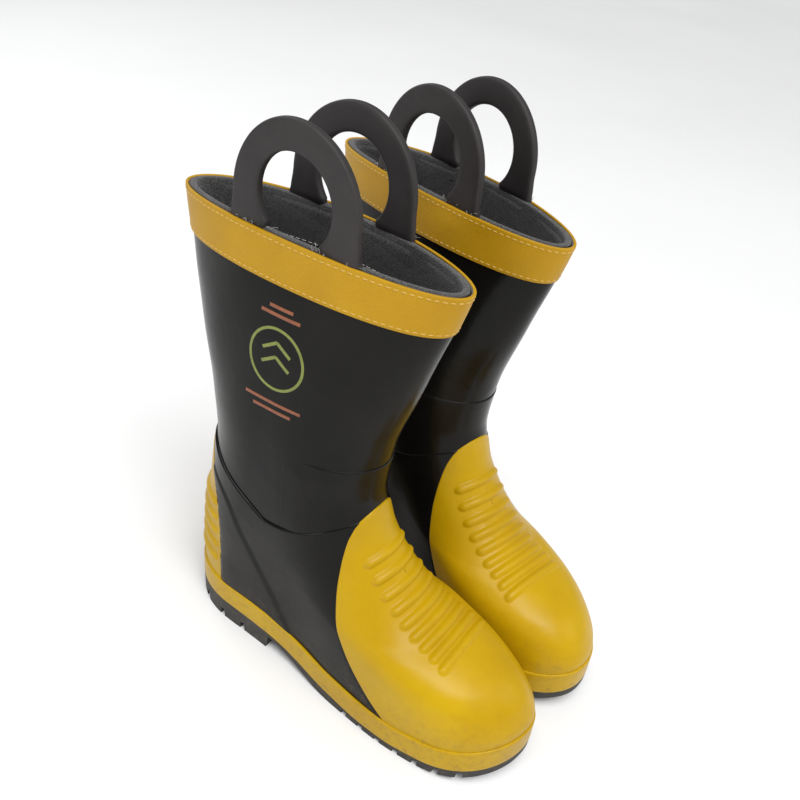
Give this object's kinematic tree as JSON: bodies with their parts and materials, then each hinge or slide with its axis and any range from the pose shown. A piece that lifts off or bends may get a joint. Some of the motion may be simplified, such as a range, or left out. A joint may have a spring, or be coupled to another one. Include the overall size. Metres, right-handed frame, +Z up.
{
  "type": "fire boots",
  "caption": "Pair of tall moulded rubber firefighting boots with reinforced toe and heel guards, a bound mouth and pull loops, worn on the feet to protect them from fire and impact.",
  "frame": {"origin": "centre of the bounding box of the pair, on the floor", "axes": "toes to -Y, +Z up, right boot on the -X side, left boot on the +X side"},
  "size_m": [0.2178, 0.3288, 0.419],
  "materials": {
    "black_rubber": "moulded rubber, satin",
    "yellow_rubber": "moulded rubber, satin",
    "outsole_rubber": "moulded rubber, matte",
    "loop_rubber": "moulded rubber, matte",
    "band_fabric": "coated woven tape",
    "thread": "twisted thread",
    "lining_fabric": "woven tweed",
    "facing_fabric": "woven tape",
    "insulation_felt": "needled felt",
    "footbed_felt": "felt over foam",
    "foam_rubber": "closed-cell foam",
    "fibre_board": "pressed fibre board",
    "steel": "cold rolled"
  },
  "bodies": {
    "right_boot": {"right_outsole": "outsole_rubber", "right_welt_band": "yellow_rubber", "right_steel_midsole": "steel", "right_midsole_filler": "foam_rubber", "right_insole_board": "fibre_board", "right_footbed": "footbed_felt", "right_upper_shell": "black_rubber", "right_steel_toe_cap": "steel", "right_toe_cap_edge_strip": "foam_rubber", "right_heel_counter": "fibre_board", "right_loop_anchor_outer": "loop_rubber", "right_loop_anchor_inner": "loop_rubber", "right_thermal_layer": "insulation_felt", "right_lining": "lining_fabric", "right_facing_strip": "facing_fabric", "right_toe_guard": "yellow_rubber", "right_heel_guard": "yellow_rubber", "right_vamp_overlay": "black_rubber", "right_ankle_overlay": "black_rubber", "right_topline_band": "band_fabric", "right_band_stitch_upper": "thread", "right_band_stitch_lower": "thread"},
    "right_outer_loop": {"right_pull_loop_outer": "loop_rubber"},
    "right_inner_loop": {"right_pull_loop_inner": "loop_rubber"},
    "left_boot": {"left_outsole": "outsole_rubber", "left_welt_band": "yellow_rubber", "left_steel_midsole": "steel", "left_midsole_filler": "foam_rubber", "left_insole_board": "fibre_board", "left_footbed": "footbed_felt", "left_upper_shell": "black_rubber", "left_steel_toe_cap": "steel", "left_toe_cap_edge_strip": "foam_rubber", "left_heel_counter": "fibre_board", "left_loop_anchor_outer": "loop_rubber", "left_loop_anchor_inner": "loop_rubber", "left_thermal_layer": "insulation_felt", "left_lining": "lining_fabric", "left_facing_strip": "facing_fabric", "left_toe_guard": "yellow_rubber", "left_heel_guard": "yellow_rubber", "left_vamp_overlay": "black_rubber", "left_ankle_overlay": "black_rubber", "left_topline_band": "band_fabric", "left_band_stitch_upper": "thread", "left_band_stitch_lower": "thread"},
    "left_outer_loop": {"left_pull_loop_outer": "loop_rubber"},
    "left_inner_loop": {"left_pull_loop_inner": "loop_rubber"}
  },
  "joints": [
    {"name": "left_boot_lift", "type": "slide", "parent": "right_boot", "child": "left_boot", "axis": [0, 0, 1], "range_m": [0, 0.45]},
    {"name": "right_outer_loop_flex", "type": "hinge", "parent": "right_boot", "child": "right_outer_loop", "pos_m": [-0.09257, 0.04922, 0.353], "axis": [0.1045, -0.9945, 0], "range_deg": [-20, 25], "stiffness_Nm_per_rad": 0.5},
    {"name": "right_inner_loop_flex", "type": "hinge", "parent": "right_boot", "child": "right_inner_loop", "pos_m": [-0.03787, 0.05496, 0.353], "axis": [-0.1045, 0.9945, 0], "range_deg": [-20, 25], "stiffness_Nm_per_rad": 0.5},
    {"name": "left_outer_loop_flex", "type": "hinge", "parent": "left_boot", "child": "left_outer_loop", "pos_m": [0.09257, 0.04922, 0.353], "axis": [0.1045, 0.9945, 0], "range_deg": [-20, 25], "stiffness_Nm_per_rad": 0.5},
    {"name": "left_inner_loop_flex", "type": "hinge", "parent": "left_boot", "child": "left_inner_loop", "pos_m": [0.03787, 0.05496, 0.353], "axis": [-0.1045, -0.9945, 0], "range_deg": [-20, 25], "stiffness_Nm_per_rad": 0.5}
  ]
}
